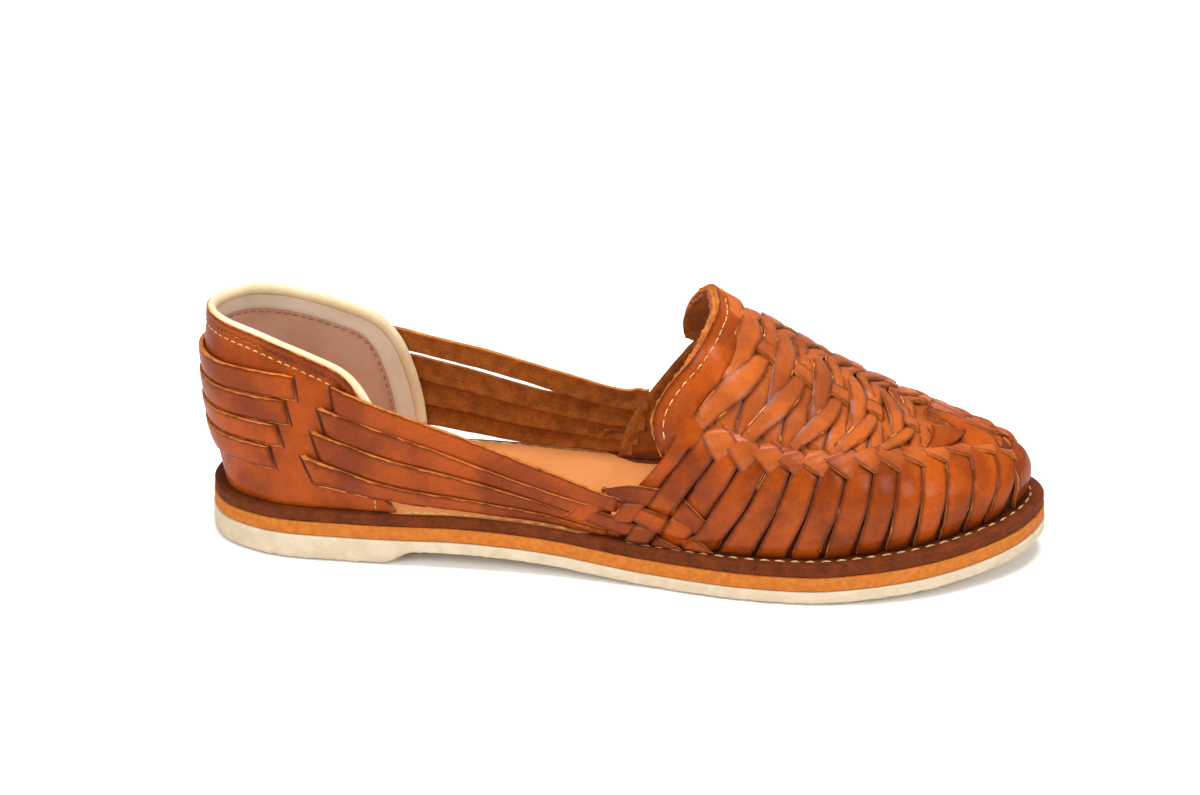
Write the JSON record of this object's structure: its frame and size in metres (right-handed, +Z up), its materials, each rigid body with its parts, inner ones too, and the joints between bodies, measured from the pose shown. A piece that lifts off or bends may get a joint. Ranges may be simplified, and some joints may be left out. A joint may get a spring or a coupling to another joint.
{
  "type": "huarache sandal",
  "caption": "Right-foot flat huarache sandal with a woven leather forefoot, open sides with straps, a closed heel counter and a layered sole.",
  "frame": {"origin": "on the floor under the centre of the shoe's bounding box", "axes": "+X from heel to toe, +Y to the inner (medial) side, +Z up"},
  "size_m": [0.2522, 0.083, 0.0762],
  "materials": {
    "outsole": "matte cream crepe sheet with a rough buffed edge",
    "midsole": "matte tan foam rubber with a sanded edge",
    "board": "smooth natural tan leather, edge dyed red brown",
    "strip_leather": "glossy waxed orange-brown leather with raw cut edges",
    "binding": "satin cream leather roll"
  },
  "bodies": {
    "root": {"outsole": "outsole", "midsole": "midsole", "insole_board": "board", "upper": "strip_leather", "heel_counter": "strip_leather", "collar_binding": "binding", "heel_band_1": "strip_leather", "heel_band_2": "strip_leather", "heel_band_3": "strip_leather", "heel_band_4": "strip_leather"}
  },
  "joints": []
}
